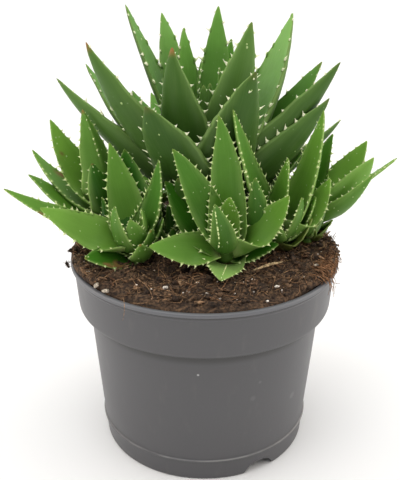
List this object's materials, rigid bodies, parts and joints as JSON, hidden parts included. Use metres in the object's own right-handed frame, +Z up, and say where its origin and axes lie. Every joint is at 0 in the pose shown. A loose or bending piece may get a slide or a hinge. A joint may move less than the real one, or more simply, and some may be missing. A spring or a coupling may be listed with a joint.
{
  "type": "potted aloe plant",
  "caption": "Potted aloe: clustered rosettes of toothed succulent leaves standing in soil heaped in a round tapered nursery pot with a collar and rolled lip.",
  "frame": {"origin": "centre of the bounding box at the foot of the pot, on the pot's axis to within a millimetre", "axes": "+Z up along the pot's axis, -Y towards the viewer of the picture, +X to the viewer's right"},
  "size_m": [0.174, 0.1228, 0.2],
  "materials": {
    "pot": "matt, fine moulding marks",
    "soil": "rough peat with bark and fibres",
    "rosette_main": "waxy, satin",
    "rosette_left": "waxy, satin",
    "rosette_front_left": "waxy, satin",
    "rosette_front": "waxy, satin",
    "rosette_front_right": "waxy, satin",
    "rosette_right": "waxy, satin",
    "rosette_back_left": "waxy, satin",
    "rosette_back_right": "waxy, satin"
  },
  "bodies": {
    "root": {"pot": "pot", "soil": "soil", "rosette_main": "rosette_main", "rosette_left": "rosette_left", "rosette_front_left": "rosette_front_left", "rosette_front": "rosette_front", "rosette_front_right": "rosette_front_right", "rosette_right": "rosette_right", "rosette_back_left": "rosette_back_left", "rosette_back_right": "rosette_back_right"}
  },
  "joints": []
}
